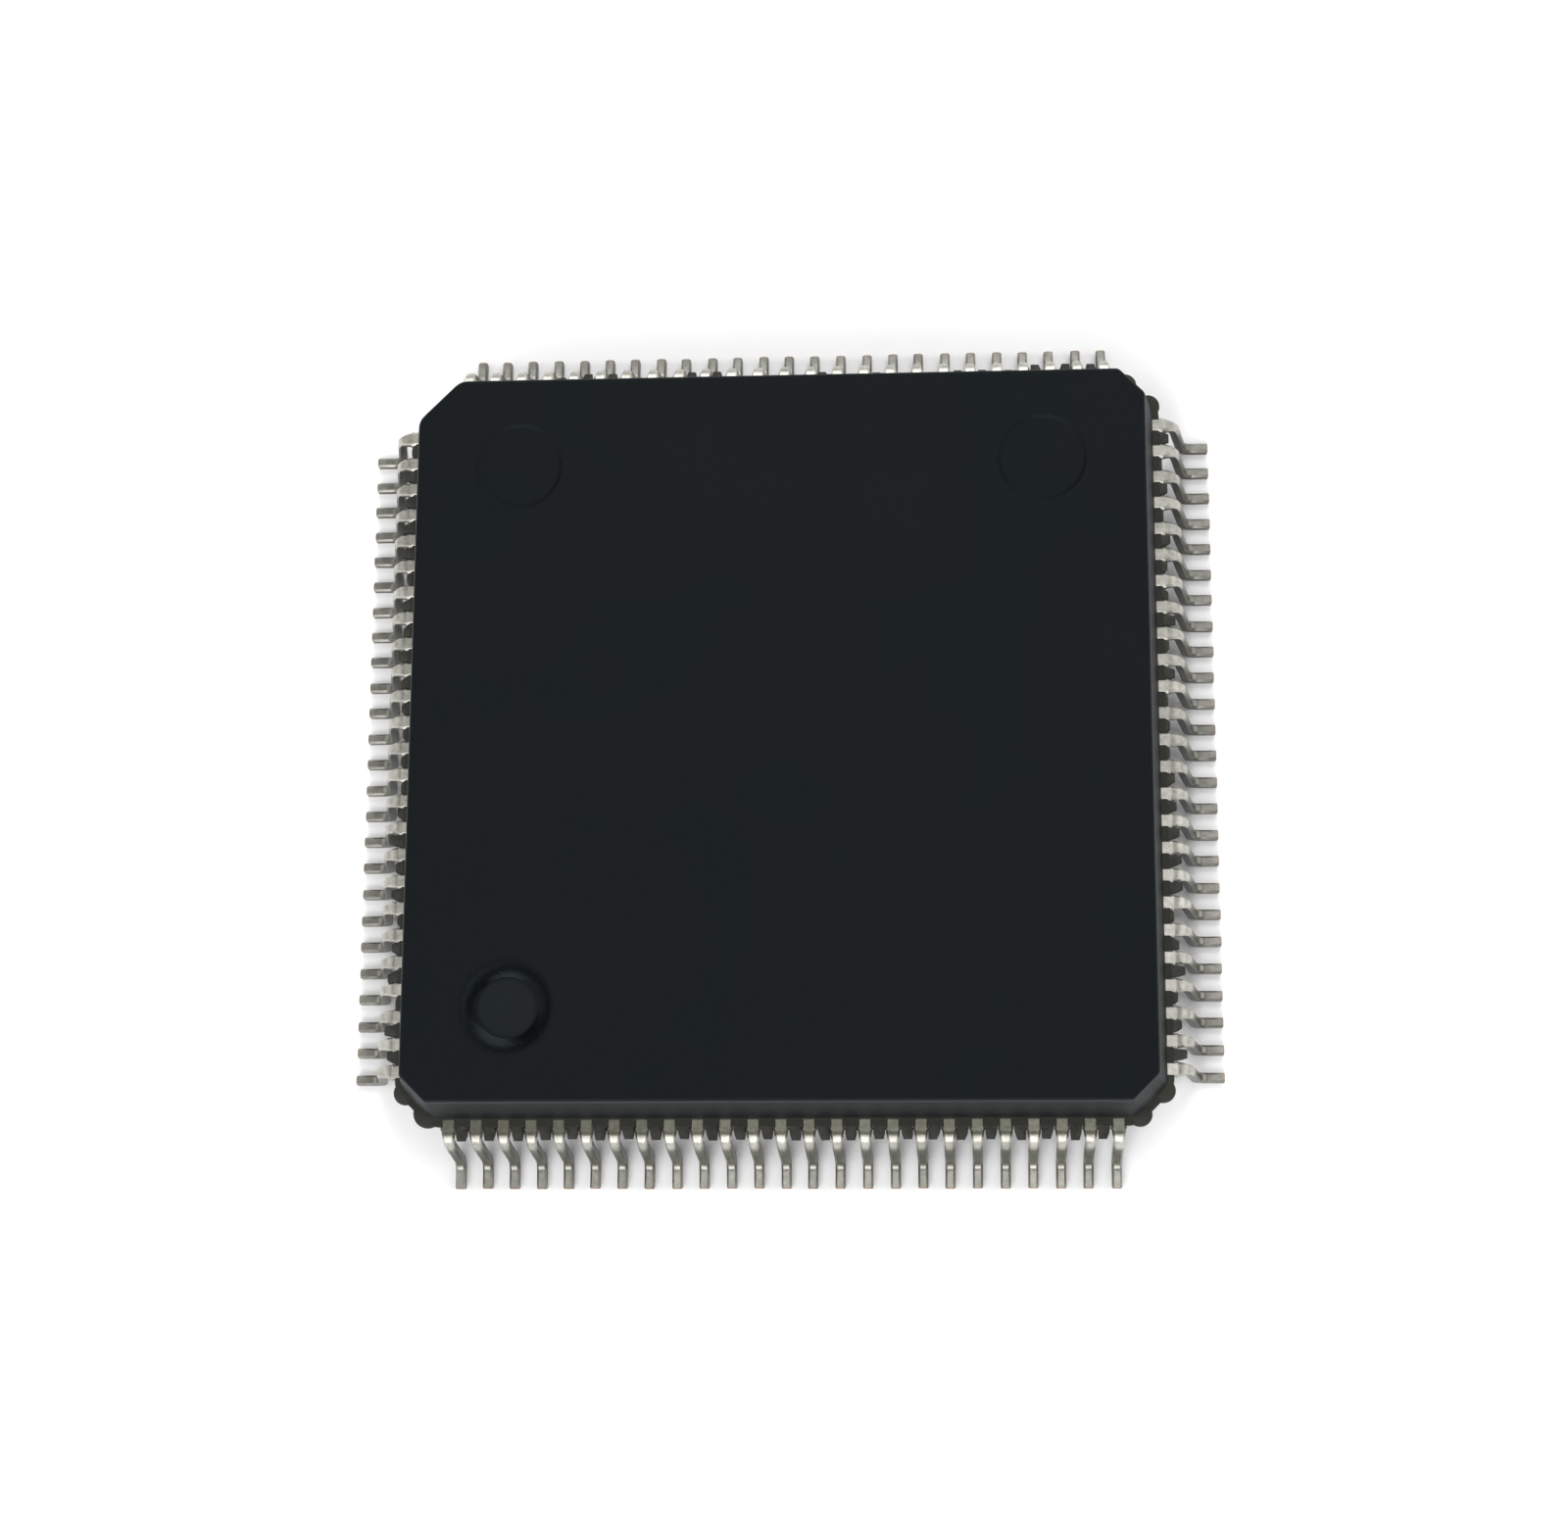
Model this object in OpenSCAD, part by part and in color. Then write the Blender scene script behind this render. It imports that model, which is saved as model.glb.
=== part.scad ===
// Quad flat pack, 100 gull-wing leads on a 0.5 mm pitch, 14 x 14 x 2.7 mm body.
// Origin: package centre on the seating plane, +Z up. The index dimple is at -X, -Y.

/* [Body] */
// Width and depth over the parting line
body_w = 14.0; // [13.8:0.1:14.4]
// Moulding thickness, bottom face to top face
body_t = 2.70; // [2.4:0.1:3.2]
// Gap between the seating plane and the bottom face
standoff = 0.12; // [0.05:0.01:0.25]
// Draft of the side walls, degrees
draft = 9; // [5:1:12]
// Width of the flash ledge that fills between the lead roots
ledge_w = 0.12; // [0.06:0.02:0.2]
// Corner chamfer, measured along each side
chamfer = 0.86; // [0.6:0.02:1.0]
// How far the edges of the corner chamfers are broken
edge_break = 0.06; // [0.03:0.01:0.1]
// Radius of the top and bottom rims
rim_r = 0.12; // [0.05:0.01:0.2]
// Radius of the resin ears where the ledge ends beside each chamfer
ear_r = 0.20; // [0.14:0.01:0.24]
// Radius of the bigger ear left by the mould gate
gate_r = 0.25; // [0.2:0.01:0.28]

/* [Leads] */
// Leads on each side
lead_count = 25; // [15:2:25]
// Lead pitch
pitch = 0.50; // [0.48:0.01:0.50]
// Overall span, toe to toe
span = 16.0; // [15.9:0.1:17.2]
// Lead width
lead_w = 0.22; // [0.17:0.01:0.27]
// Lead-frame thickness
lead_t = 0.17; // [0.12:0.01:0.2]
// Inside radius of both bends
bend_r = 0.15; // [0.08:0.01:0.2]
// Angle of the lead's riser to the board, degrees
riser = 80; // [70:1:86]
// Straight shoulder between the body and the first bend
shoulder = 0.06; // [0.04:0.01:0.1]
// Dam-bar stub left proud on each flank of a lead
dambar_stub = 0.02; // [0.01:0.005:0.03]

/* [Inside] */
// Die paddle width
paddle_w = 6.6; // [6.2:0.1:6.8]
// Depth of the paddle below the leads
downset = 0.20; // [0.18:0.01:0.3]
// Tie-bar width
tie_w = 0.36; // [0.2:0.02:0.4]
// Width of the silicon die
die_w = 5.6; // [4.8:0.1:5.8]
// Die thickness
die_t = 0.35; // [0.25:0.01:0.4]
// Thickness of the die-attach epoxy
attach_t = 0.03; // [0.02:0.01:0.05]
// Distance from the centre to the inner lead tips
tip_x = 4.30; // [4.2:0.05:4.5]
// Pitch of the inner lead tips
tip_pitch = 0.30; // [0.26:0.01:0.3]
// Width of an inner lead tip
tip_w = 0.14; // [0.1:0.01:0.16]
// Bond wire diameter
wire_d = 0.026; // [0.02:0.002:0.03]
// Height of the wire loop over the die
loop_h = 0.18; // [0.12:0.01:0.25]

/* [Moulding marks] */
// Radius of the two ejector-pin marks
ejector_r = 0.82; // [0.6:0.02:0.9]
// Depth of the ejector-pin marks
ejector_d = 0.03; // [0.01:0.01:0.06]
// Rim radius of the index dimple
index_r = 0.84; // [0.6:0.02:0.9]
// Radius of the flat floor of the index dimple
index_floor_r = 0.52; // [0.3:0.02:0.55]
// Depth of the index dimple
index_d = 0.14; // [0.05:0.01:0.2]
// Distance of the marks from the package centre line, left and right
mark_x = 4.80; // [4.6:0.05:5.2]
// Distance of the marks from the package centre line, front and back
mark_y = 5.00; // [4.6:0.05:5.2]

/* [Hidden] */

arc_steps = 4;                          // facets in each lead bend
mid_z = standoff + body_t / 2;          // parting plane, middle of the lead frame
top_z = standoff + body_t;
frame_lo = mid_z - lead_t / 2;
frame_hi = mid_z + lead_t / 2;
wall_w = body_w / 2 - ledge_w;          // half width at the foot of the walls
diag_w = (body_w - chamfer) / sqrt(2);  // centre to chamfer face over the ledge
edge_w = body_w / 2 * cos(22.5) + (body_w / 2 - chamfer) * sin(22.5) - edge_break;
row_half = (lead_count - 1) / 2;
paddle_lo = frame_lo - downset;
paddle_hi = paddle_lo + lead_t;
die_lo = paddle_hi + attach_t;
die_hi = die_lo + die_t;
bend_c = bend_r + lead_t / 2;           // bend radius on the lead's mid line
toe_x = span / 2;
bend_x = body_w / 2 + shoulder;         // start of the upper bend
riser_dz = mid_z - lead_t / 2 - 2 * bend_c * (1 - cos(riser));
foot_x = bend_x + 2 * bend_c * sin(riser) + riser_dz / tan(riser);
finger_x = body_w / 2 - 0.65;           // where the inner leads start to fan in
pad_pitch = (die_w - 0.5) / (lead_count - 1);
pad_x = die_w / 2 - 0.12;               // centre to bond pad row
ball_r = 0.038;
ball_h = 0.018;
eps = 0.01;

// Points of an arc about c, from angle a to b
function arc(c, r, a, b, n = arc_steps) =
    [for (k = [0 : n]) let (t = a + (b - a) * k / n) c + r * [cos(t), sin(t)]];

// One half of the moulding's cross-section: half width w at the ledge
function half_section(w) =
    let (foot = w - ledge_w,
         h = (body_t - lead_t) / 2,
         inset = h * tan(draft),
         turn = 90 - draft,
         // rim centres, tangent to the drafted wall and to the flat face
         cx = foot - inset - rim_r * tan(turn / 2))
    concat(arc([cx, standoff + rim_r], rim_r, 270, 270 + turn),
           [[foot, frame_lo], [w, frame_lo], [w, frame_hi], [foot, frame_hi]],
           arc([cx, top_z - rim_r], rim_r, 90 - turn, 90));

// The cross-section run straight through the package
module section_bar(w) {
    right = half_section(w);
    left = [for (k = [len(right) - 1 : -1 : 0]) [-right[k][0], right[k][1]]];
    rotate([90, 0, 0])
        linear_extrude(2 * body_w, center = true)
            polygon(concat(right, left));
}

// Moulding without its pockets: bars crossed square for the walls, on the diagonals for
// the chamfers, and between them for the broken edges
module moulding() {
    intersection() {
        section_bar(body_w / 2);
        rotate(90) section_bar(body_w / 2);
        rotate(45) section_bar(diag_w);
        rotate(-45) section_bar(diag_w);
        for (a = [-67.5, -22.5, 22.5, 67.5]) rotate(a) section_bar(edge_w);
    }
}

// Resin ears where the ledge runs out beside each chamfer; the gate leaves the bigger one
module ears() {
    for (a = [0 : 90 : 270], s = [-1, 1]) {
        r = (a == 0 && s == -1) ? gate_r : ear_r;
        rotate(a)
            translate([s * (body_w / 2 - chamfer + ear_r), r + 2 * eps - body_w / 2, frame_lo])
                cylinder(h = lead_t, r = r, $fn = 48);
    }
}

// Plan of lead i on the +X side, toe to inner tip
module lead_plan(i, outer = toe_x) {
    s = (i - row_half) * pitch;
    t = (i - row_half) * tip_pitch;
    stub = lead_w / 2 + dambar_stub;
    stub_x = body_w / 2 + eps;
    stub_end = bend_x - eps / 2;
    flank = outer > bend_x
        ? [[stub_x, lead_w / 2], [stub_x, stub], [stub_end, stub], [stub_end, lead_w / 2],
           [outer, lead_w / 2]]
        : [[outer, lead_w / 2]];
    half = concat([[tip_x, tip_w / 2, 1], [finger_x, lead_w / 2, 0]], [for (p = flank) [p[0], p[1], 0]]);
    side = function (sgn) [for (p = half) [p[0], (p[2] == 1 ? t : s) + sgn * p[1]]];
    lower = side(-1);
    upper = side(1);
    polygon(concat(lower, [for (k = [len(upper) - 1 : -1 : 0]) upper[k]]));
}

// Gull-wing side view: shoulder, upper bend, riser, lower bend, foot
module gull_profile() {
    c1 = [bend_x, mid_z - bend_c];
    c2 = [foot_x, lead_t / 2 + bend_c];
    ro = bend_c + lead_t / 2;
    ri = bend_c - lead_t / 2;
    polygon(concat(
        [[tip_x - 1, frame_hi]],
        arc(c1, ro, 90, 90 - riser),
        arc(c2, ri, 270 - riser, 270),
        [[toe_x + 1, lead_t], [toe_x + 1, 0]],
        arc(c2, ro, 270, 270 - riser),
        arc(c1, ri, 90 - riser, 90),
        [[tip_x - 1, frame_lo]]));
}

// A full row of separate leads on the +X side
module lead_row() {
    intersection() {
        rotate([90, 0, 0])
            linear_extrude(body_w + 2, center = true) gull_profile();
        for (i = [0 : lead_count - 1])
            translate([0, 0, -1]) linear_extrude(top_z + 2) lead_plan(i);
    }
}

// The flat part of the same leads, which the moulding grips
module lead_row_pocket() {
    for (i = [0 : lead_count - 1])
        translate([0, 0, frame_lo]) linear_extrude(lead_t) lead_plan(i, bend_x - 0.01);
}

// Straight piece of wire from p to q, run a little past both ends
module wire_run(p, q) {
    v = q - p;
    l = norm(v);
    lap = wire_d * 0.35;
    translate(p)
        rotate([0, acos(v[2] / l), atan2(v[1], v[0])])
            translate([0, 0, -lap]) cylinder(h = l + 2 * lap, d = wire_d, $fn = 6);
}

// Ball bond, neck, kink and long run down to the inner lead of each pin
module wire_row() {
    difference() {
        for (i = [0 : lead_count - 1]) {
            a = [pad_x, (i - row_half) * pad_pitch, die_hi];
            b = [tip_x + 0.22, (i - row_half) * (tip_pitch + 0.22 * (pitch - tip_pitch) / (finger_x - tip_x)), frame_hi];
            u = [b[0] - a[0], b[1] - a[1], 0] / norm([b[0] - a[0], b[1] - a[1]]);
            neck = a + [0, 0, loop_h];
            kink = neck + 0.45 * u + [0, 0, -0.01];
            translate(a) cylinder(h = ball_h, r = ball_r, $fn = 8);
            translate(a) cylinder(h = loop_h, d = wire_d, $fn = 6);
            wire_run(neck - [0, 0, wire_d / 2], kink);
            wire_run(kink, b);
        }
        translate([tip_x, -body_w / 2, frame_hi - 1]) cube([2, body_w, 1]);
    }
}

// Paddle with a tie bar to each corner, stepped down from the plane of the leads
module paddle() {
    step_a = paddle_w / 2 * sqrt(2) + 0.15;
    step_b = step_a + downset * 1.1;
    translate([-paddle_w / 2, -paddle_w / 2, paddle_lo]) cube([paddle_w, paddle_w, lead_t]);
    for (a = [45, 135, 225, 315])
        rotate(a) rotate([90, 0, 0]) linear_extrude(tie_w, center = true)
            polygon([[1, paddle_lo], [step_a, paddle_lo], [step_b, frame_lo], [diag_w, frame_lo],
                     [diag_w, frame_hi], [step_b - 0.06, frame_hi], [step_a - 0.06, paddle_hi], [1, paddle_hi]]);
}

module attach_pad() {
    translate([-die_w / 2 - 0.08, -die_w / 2 - 0.08, paddle_hi]) cube([die_w + 0.16, die_w + 0.16, attach_t]);
}

module die() {
    translate([-die_w / 2, -die_w / 2, die_lo]) cube([die_w, die_w, die_t]);
}

// Shallow round marks pressed by the ejector pins and the index pin
module moulding_marks() {
    for (s = [-1, 1])
        translate([s * mark_x, mark_y, top_z - ejector_d]) cylinder(h = 1, r = ejector_r, $fn = 64);
    translate([-mark_x, -mark_y, top_z - index_d])
        cylinder(h = index_d + eps, r1 = index_floor_r,
                 r2 = index_r + eps * (index_r - index_floor_r) / index_d, $fn = 64);
    for (sx = [-1, 1], sy = [-1, 1])
        translate([sx * mark_x, sy * mark_y, standoff - 1 + ejector_d])
            cylinder(h = 1, r = ejector_r, $fn = 64);
}

module mould_body() {
    color([0.09, 0.10, 0.11])
        difference() {
            union() {
                moulding();
                ears();
            }
            moulding_marks();
            for (a = [0 : 90 : 270]) rotate(a) {
                lead_row_pocket();
                wire_row();
            }
            paddle();
            attach_pad();
            die();
        }
}

module die_paddle() { color([0.72, 0.45, 0.30]) paddle(); }
module die_attach() { color([0.75, 0.75, 0.72]) attach_pad(); }
module silicon_die() { color([0.35, 0.36, 0.42]) die(); }
module leads(a) { color([0.72, 0.72, 0.68]) rotate(a) lead_row(); }
module bond_wires(a) { color([0.90, 0.72, 0.30]) rotate(a) wire_row(); }

mould_body();
die_paddle();
die_attach();
silicon_die();
leads(270);  // leads_front
leads(0);  // leads_right
leads(90);  // leads_back
leads(180);  // leads_left
bond_wires(270);  // bond_wires_front
bond_wires(0);  // bond_wires_right
bond_wires(90);  // bond_wires_back
bond_wires(180);  // bond_wires_left
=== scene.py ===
"""Dresses a quad flat pack: the moulded body, the tinned lead rows, the die with its wires, and a studio."""

import math

import bmesh
import bpy
from bpy.props import FloatProperty, FloatVectorProperty, IntProperty, PointerProperty
from mathutils import Matrix, Vector


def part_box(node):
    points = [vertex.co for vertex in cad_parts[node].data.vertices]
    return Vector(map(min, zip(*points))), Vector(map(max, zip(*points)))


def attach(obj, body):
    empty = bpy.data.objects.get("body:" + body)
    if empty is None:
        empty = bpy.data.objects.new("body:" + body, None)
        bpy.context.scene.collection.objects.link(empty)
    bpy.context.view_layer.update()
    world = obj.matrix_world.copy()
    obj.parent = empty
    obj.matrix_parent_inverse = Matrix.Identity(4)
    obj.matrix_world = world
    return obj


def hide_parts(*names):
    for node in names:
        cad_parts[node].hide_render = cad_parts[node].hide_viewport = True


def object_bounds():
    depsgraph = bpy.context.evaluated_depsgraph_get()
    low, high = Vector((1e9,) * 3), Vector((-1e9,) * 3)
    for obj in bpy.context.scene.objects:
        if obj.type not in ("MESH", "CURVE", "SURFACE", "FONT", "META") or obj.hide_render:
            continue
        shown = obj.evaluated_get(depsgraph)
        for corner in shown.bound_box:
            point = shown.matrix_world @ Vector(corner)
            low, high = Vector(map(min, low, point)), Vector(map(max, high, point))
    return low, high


bl_info = {
    "name": "Quad flat pack",
    "version": (1, 0, 0),
    "blender": (4, 5, 0),
    "location": "View3D > Sidebar > Flat pack",
    "description": "Moulded body, gull-wing lead rows, die, bond wires and studio of a quad flat pack",
    "category": "Add Mesh",
}

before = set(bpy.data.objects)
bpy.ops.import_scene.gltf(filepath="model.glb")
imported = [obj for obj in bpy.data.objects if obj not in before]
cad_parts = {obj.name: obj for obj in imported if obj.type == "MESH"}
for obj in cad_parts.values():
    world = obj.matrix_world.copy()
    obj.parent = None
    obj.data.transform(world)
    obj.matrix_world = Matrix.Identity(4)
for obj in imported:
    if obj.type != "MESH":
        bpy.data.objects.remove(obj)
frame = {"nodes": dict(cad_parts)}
CAD_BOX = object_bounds()

MM = 0.001
SIDES = {"right": 0, "back": 90, "left": 180, "front": 270}  # turn of each row about Z, degrees
BODY_LOW, BODY_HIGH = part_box("mould_body")
LEAD_LOW, LEAD_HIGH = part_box("leads_right")
WIRE_LOW, WIRE_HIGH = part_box("bond_wires_right")
DIE_LOW, DIE_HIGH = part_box("silicon_die")
BODY_MID = (BODY_LOW.z + BODY_HIGH.z) / 2
FRAME_TOP = LEAD_HIGH.z
SEED_STEP = 10  # from one side's row to the next
QUARTER = math.radians(90)


# ---------------------------------------------------------------- settings


def length(name, description, millimetres):
    """A distance property, given in millimetres."""
    size = millimetres * MM
    return FloatProperty(
        name=name, description=description, default=size, precision=6, subtype="DISTANCE", unit="LENGTH"
    )


def angle(name, description, degrees):
    """An angle property, given in degrees."""
    turn = math.radians(degrees)
    return FloatProperty(
        name=name, description=description, default=turn, subtype="ANGLE", unit="ROTATION"
    )


def colour(name, description, rgb):
    """A colour property in linear values."""
    return FloatVectorProperty(
        name=name, description=description, default=rgb, size=3, min=0.0, max=1.0, subtype="COLOR"
    )


class BodySettings(bpy.types.PropertyGroup):
    """Sizes of the moulding and of the marks pressed into it."""

    draft: angle("Draft", "Slope of the side walls", 9)
    ledge: length("Ledge", "Reach of the resin ledge between the lead roots", 0.12)
    chamfer: length("Chamfer", "Corner chamfer along each side", 0.66)
    big_chamfer: length("Big chamfer", "Chamfer of the back left corner", 0.94)
    corner: length("Corner radius", "Rounding at both ends of each chamfer", 0.45)
    rim: length("Rim radius", "Rounding of the top and bottom rims", 0.08)
    ear: length("Ear radius", "Resin ears beside each chamfer", 0.22)
    gate: length("Gate ear radius", "Bigger ear left by the mould gate", 0.27)
    ear_place: length("Ear place", "Distance of the ears from the middle of their side", 6.38)
    mark_x: length("Mark distance X", "Distance of the marks from the centre line, left and right", 4.80)
    mark_y: length("Mark distance Y", "Distance of the marks from the centre line, front and back", 5.00)
    ejector: length("Ejector mark radius", "Radius of the ejector-pin marks", 0.82)
    ejector_depth: length("Ejector mark depth", "Depth of the ejector-pin marks", 0.045)
    index: length("Index radius", "Rim radius of the index dimple", 0.84)
    index_floor: length("Index floor radius", "Radius of the floor of the index dimple", 0.52)
    index_depth: length("Index depth", "Depth of the index dimple", 0.14)


class LeadSettings(bpy.types.PropertyGroup):
    """Sizes of one gull-wing lead and of its row."""

    count: IntProperty(name="Leads", description="Leads on each side", default=25, min=1)
    pitch: length("Pitch", "Spacing of the leads", 0.50)
    tip_pitch: length("Tip pitch", "Spacing of the inner tips", 0.30)
    width: length("Width", "Width of the free end of a lead", 0.18)
    root_width: length("Root width", "Width of a lead where it leaves the body", 0.26)
    tip_width: length("Tip width", "Width of an inner tip", 0.14)
    thickness: length("Thickness", "Thickness of the lead frame", 0.17)
    bend: length("Bend radius", "Inside radius of both bends", 0.15)
    riser: angle("Riser", "Angle of the riser to the board", 80)
    shoulder: length("Shoulder", "Flat between the body and the upper bend", 0.06)
    stub: length("Dam-bar stub", "Stub left on each flank by the dam bar", 0.012)
    fan: length("Fan start", "Depth in the body at which the leads start to fan in", 0.65)
    edge: length("Edge rounding", "Rounding of the upper edges", 0.036)
    lean: FloatProperty(
        name="Lean", description="Sideways lean of the free ends, as a slope", default=0.012
    )
    trim: FloatProperty(
        name="Trim", description="Variation of the toe length, as a share of the reach", default=0.012
    )


class WireSettings(bpy.types.PropertyGroup):
    """Sizes of the bond wires and pads."""

    diameter: length("Diameter", "Diameter of the bond wire", 0.026)
    loop: length("Loop height", "Height of the loop over the die", 0.18)
    ball: length("Ball radius", "Radius of the ball bond", 0.038)
    pad: length("Pad width", "Width of a bond pad", 0.09)
    inset: length("Pad inset", "Distance of the pad row from the die's edge", 0.12)
    margin: length("Pad margin", "Free length of the die's edge beyond the pad row, both ends", 0.5)


class FinishSettings(bpy.types.PropertyGroup):
    """Colours of the finishes."""

    mould: colour("Mould compound", "Near-black epoxy", (0.0030, 0.0042, 0.0048))
    mould_warm: colour("Mould compound, warm", "The warmer patches of the epoxy", (0.0042, 0.0044, 0.0048))
    speck: colour("Filler specks", "Pale filler grains in the epoxy", (0.012, 0.013, 0.013))
    # Painted highlight on the rounding of the top rim.
    rim: colour("Rim", "Polished line round the top rim", (0.026, 0.027, 0.028))
    # Painted shade on the wall of the index dimple and painted light on its floor; the wall's polish is in
    # the roughness.
    dimple_wall_shaded: colour("Dimple wall", "Polished wall of the index dimple", (0.0008, 0.0012, 0.0014))
    dimple_floor_lit: colour("Dimple floor", "Matt floor of the index dimple", (0.0085, 0.0105, 0.0115))
    # Resin colour, paler than the body; on the ledge band it also serves as a painted highlight.
    resin: colour("Resin flash", "Thin resin at the lead roots", (0.036, 0.036, 0.029))
    tin: colour("Tin plating", "Bright tin on the lead shoulders", (0.44, 0.43, 0.385))
    # A shaded copy of the tin: painted shade on the risers, the flanks and the front row's roots.
    tin_shaded: colour("Dull tin", "Olive tin on the risers and flanks", (0.085, 0.083, 0.060))
    copper: colour("Copper alloy", "Cut toes and paddle", (0.60, 0.33, 0.20))
    tarnish: colour("Tarnish", "Tarnished patches of the copper alloy", (0.30, 0.17, 0.11))
    bar_end: colour("Tie-bar ends", "Dark ends of the tie bars in the corners", (0.035, 0.032, 0.026))
    gold: colour("Gold", "Bond wires", (0.95, 0.62, 0.22))
    pad: colour("Pad metal", "Bond pads on the die", (0.80, 0.80, 0.82))
    floor: colour("Floor", "Pale studio floor", (0.93, 0.93, 0.93))


class StageSettings(bpy.types.PropertyGroup):
    """Camera and light."""

    azimuth: angle("Azimuth", "Camera's place round the package, from -Y towards +X", 18.0)
    elevation: angle("Elevation", "Camera's height above the horizon", 77.0)
    roll: angle("Roll", "Turn of the camera about its own axis", 18.2)
    distance: length("Distance", "From the camera to the centre of the seating plane", 56.0)
    lens: FloatProperty(name="Lens", description="Focal length in millimetres", default=68.2)
    slide_x: length("Slide X", "Sideways slide of the camera", -0.081)
    slide_y: length("Slide Y", "Upward slide of the camera", -0.035)
    floor: length("Floor width", "Width of the floor", 12000.0)
    light: length("Light distance", "Distance of the four lights from the middle", 1120.0)
    zenith: FloatProperty(name="Zenith", description="Brightness of the dome overhead", default=0.08)
    glow: FloatProperty(name="Glow", description="Extra brightness of the dome right above", default=4.5)
    horizon: FloatProperty(name="Horizon", description="Brightness of the dome at the horizon", default=0.30)


GROUPS = {
    "flatpack_body": BodySettings,
    "flatpack_leads": LeadSettings,
    "flatpack_wires": WireSettings,
    "flatpack_finish": FinishSettings,
    "flatpack_stage": StageSettings,
}


# ---------------------------------------------------------------- shared helpers


def add_node(tree, kind, settings=None, **sockets):
    """Adds a node, sets its options, and fills sockets by name or by index written as s0, s1, ..."""
    made = tree.nodes.new(kind)
    for option, value in (settings or {}).items():
        setattr(made, option, value)
    for key, value in sockets.items():
        socket = made.inputs[int(key[1:])] if key[0] == "s" and key[1:].isdigit() else made.inputs[key]
        if isinstance(value, bpy.types.NodeSocket):
            tree.links.new(value, socket)
        else:
            socket.default_value = value
    return made


def maths(tree, operation, *values):
    """One Math node's output."""
    sockets = {f"s{i}": value for i, value in enumerate(values)}
    return add_node(tree, "ShaderNodeMath", {"operation": operation}, **sockets).outputs[0]


def vector_maths(tree, operation, *values, **named):
    """One Vector Math node's output, a number where the operation gives one."""
    sockets = {f"s{i}": value for i, value in enumerate(values)}
    made = add_node(tree, "ShaderNodeVectorMath", {"operation": operation}, **sockets, **named)
    return made.outputs["Value" if operation == "LENGTH" else "Vector"]


def axis(tree, vector, name):
    """One component of a vector."""
    return add_node(tree, "ShaderNodeSeparateXYZ", Vector=vector).outputs[name]


def new_mesh_object(name, points, faces):
    """A mesh object at the origin, linked into the scene."""
    mesh = bpy.data.meshes.new(name)
    mesh.from_pydata([tuple(p) for p in points], [], faces)
    mesh.validate()
    made = bpy.data.objects.new(name, mesh)
    bpy.context.scene.collection.objects.link(made)
    return made


def tidy_mesh(obj):
    """Merges doubles and points every face outwards."""
    work = bmesh.new()
    work.from_mesh(obj.data)
    bmesh.ops.remove_doubles(work, verts=work.verts, dist=0.0001 * MM)
    bmesh.ops.recalc_face_normals(work, faces=work.faces)
    work.to_mesh(obj.data)
    work.free()


def bake_modifiers(obj):
    """Turns the object with its modifiers into a plain mesh."""
    graph = bpy.context.evaluated_depsgraph_get()
    graph.update()
    plain = bpy.data.meshes.new_from_object(obj.evaluated_get(graph), depsgraph=graph)
    plain.name = obj.name
    obj.modifiers.clear()
    obj.data = plain


def shade(obj, degrees):
    """Smooth shading, with the edges sharper than the angle kept."""
    obj.data.shade_smooth()
    obj.data.set_sharp_from_angle(angle=math.radians(degrees))


def keep_flat(obj):
    """Weights the normals, so the flat faces beside a rounding stay flat."""
    weighted = obj.modifiers.new("weighted", "WEIGHTED_NORMAL")
    weighted.keep_sharp = True
    bake_modifiers(obj)


def remove_object(obj):
    """Removes an object with its mesh."""
    mesh = obj.data
    bpy.data.objects.remove(obj)
    bpy.data.meshes.remove(mesh)


def set_finish(obj, material):
    """Fills every material slot of a mesh, or adds the first one."""
    if not obj.data.materials:
        obj.data.materials.append(material)
    for i in range(len(obj.data.materials)):
        obj.data.materials[i] = material


def finish_piece(obj, slot, *nodes):
    """Rides a finished piece on the package and hides the CAD parts it stands for."""
    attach(obj, "root")
    if nodes:
        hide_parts(*nodes)


def arc(cx, cy, radius, start, stop, steps):
    """Points of an arc, angles in radians."""
    turns = [start + (stop - start) * k / steps for k in range(steps + 1)]
    return [(cx + radius * math.cos(t), cy + radius * math.sin(t)) for t in turns]


def loft(rings):
    """Quads between closed rings of equal length, with a cap at both ends."""
    n = len(rings[0])
    points = [p for ring in rings for p in ring]
    faces = [tuple(range(n))[::-1], tuple(range((len(rings) - 1) * n, len(rings) * n))]
    for k in range(len(rings) - 1):
        for i in range(n):
            j = (i + 1) % n
            faces.append((k * n + i, k * n + j, (k + 1) * n + j, (k + 1) * n + i))
    return points, faces


# ---------------------------------------------------------------- finishes


def blank_material(name):
    """A node material with only its Principled shader; returns the tree and the shader."""
    made = bpy.data.materials.new(name)
    made.use_nodes = True
    tree = made.node_tree
    shader = next(n for n in tree.nodes if n.bl_idname == "ShaderNodeBsdfPrincipled")
    return made, tree, shader


def millimetre_place(tree):
    """Object coordinates in millimetres."""
    place = add_node(tree, "ShaderNodeTexCoord").outputs["Object"]
    return vector_maths(tree, "SCALE", place, Scale=1 / MM)


def axis_distance(tree, place, x=0.0, y=0.0):
    """Distance from the upright axis at x, y, in millimetres."""
    away = vector_maths(tree, "SUBTRACT", place, (x, y, 0.0))
    return vector_maths(tree, "LENGTH", vector_maths(tree, "MULTIPLY", away, (1.0, 1.0, 0.0)))


def attribute(tree, name):
    """A number stored on the mesh."""
    return add_node(tree, "ShaderNodeAttribute", {"attribute_name": name}).outputs["Fac"]


def noise(tree, place, scale, detail=2.0, rough=0.5):
    """Noise from 0 to 1 with features of about 1/scale millimetres."""
    made = add_node(
        tree, "ShaderNodeTexNoise", Vector=place, Scale=scale, Detail=detail, Roughness=rough
    )
    return made.outputs["Fac"]


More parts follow.
